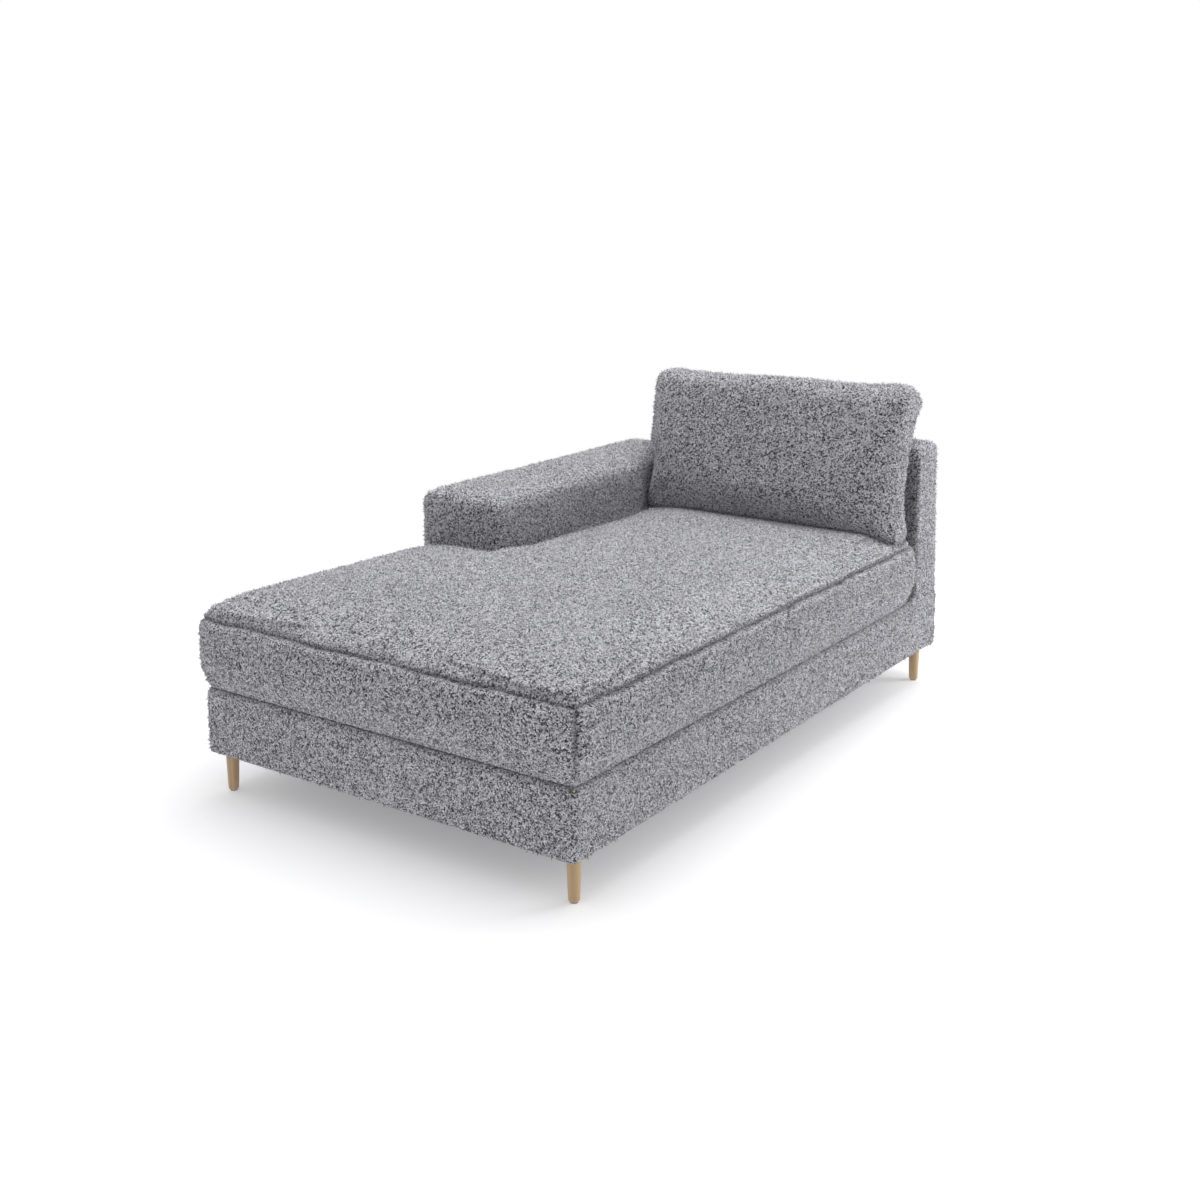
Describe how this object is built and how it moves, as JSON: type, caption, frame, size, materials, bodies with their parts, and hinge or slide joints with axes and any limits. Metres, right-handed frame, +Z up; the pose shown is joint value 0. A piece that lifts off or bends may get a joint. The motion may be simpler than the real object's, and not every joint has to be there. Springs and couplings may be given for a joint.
{
  "type": "chaise longue",
  "caption": "Upholstered chaise longue with one low arm, a loose L-shaped seat cushion, a loose leaning back cushion and turned wooden legs.",
  "frame": {"origin": "middle of the overall footprint, on the floor under the legs", "axes": "+Z up, +Y towards the back rest, -Y towards the foot end, +X to the open side and -X to the arm"},
  "size_m": [1.06, 1.68, 0.8166],
  "materials": {
    "boucle": "looped wool-look weave, mixed light and dark grey yarn",
    "oak": "clear matt lacquer on light oak",
    "plywood": "raw",
    "softwood": "raw",
    "hardboard": "raw",
    "steel": "zinc plated",
    "zip_metal": "dark nickel",
    "foam": "open-cell foam",
    "fibre": "bonded fibre wadding",
    "felt": "pressed felt",
    "deck_cloth": "plain woven",
    "lining": "non-woven",
    "webbing": "elastic woven strap",
    "zip_tape": "woven tape with a moulded chain"
  },
  "bodies": {
    "frame": {"arm_bottom_board": "plywood", "arm_cover": "boucle", "arm_foam": "foam", "arm_front_board": "plywood", "arm_panel_inner": "plywood", "arm_panel_outer": "plywood", "arm_rear_board": "plywood", "arm_top_board": "plywood", "back_cover": "boucle", "back_foam": "foam", "back_panel": "hardboard", "back_post_left": "plywood", "back_post_middle": "plywood", "back_post_right": "plywood", "back_sill": "plywood", "back_top_rail": "plywood", "back_webbing": "webbing", "base_brace_front": "plywood", "base_brace_rear": "plywood", "base_cover_front": "boucle", "base_cover_left": "boucle", "base_cover_rear": "boucle", "base_cover_right": "boucle", "base_rail_arm": "plywood", "base_rail_front": "plywood", "base_rail_left": "plywood", "base_rail_middle": "plywood", "base_rail_rear": "plywood", "base_rail_right": "plywood", "base_wadding": "fibre", "corner_blocks": "softwood", "deck_cloth": "deck_cloth", "deck_foam": "foam", "dust_cover": "lining", "fixing_blocks": "softwood", "fixing_screws": "steel", "ledger_arm": "softwood", "ledger_left": "softwood", "ledger_right_front": "softwood", "ledger_right_rear": "softwood", "leg_glides": "felt", "leg_hanger_bolts": "steel", "legs_front": "oak", "legs_rear": "oak", "seat_springs": "steel", "spring_clips": "steel", "spring_pad": "felt", "spring_tie_straps": "steel"},
    "seat_cushion": {"seat_foam_core": "foam", "seat_fibre_wrap": "fibre", "seat_cushion_cover": "boucle", "seat_zip": "zip_tape"},
    "back_cushion": {"back_cushion_cover": "boucle", "back_cushion_fill": "fibre", "back_zip": "zip_tape"},
    "seat_zip_slider": {"seat_zip_slider": "zip_metal"},
    "back_zip_slider": {"back_zip_slider": "zip_metal"}
  },
  "joints": [
    {"name": "seat_cushion_lift", "type": "slide", "parent": "frame", "child": "seat_cushion", "axis": [0, 0, 1], "range_m": [0, 0.35]},
    {"name": "back_cushion_lift", "type": "slide", "parent": "seat_cushion", "child": "back_cushion", "axis": [0, 0, 1], "range_m": [0, 0.25]},
    {"name": "seat_zip_slide", "type": "slide", "parent": "seat_cushion", "child": "seat_zip_slider", "axis": [-1, 0, 0], "range_m": [0, 0.497]},
    {"name": "back_zip_slide", "type": "slide", "parent": "back_cushion", "child": "back_zip_slider", "axis": [-1, 0, 0], "range_m": [0, 0.497]}
  ]
}
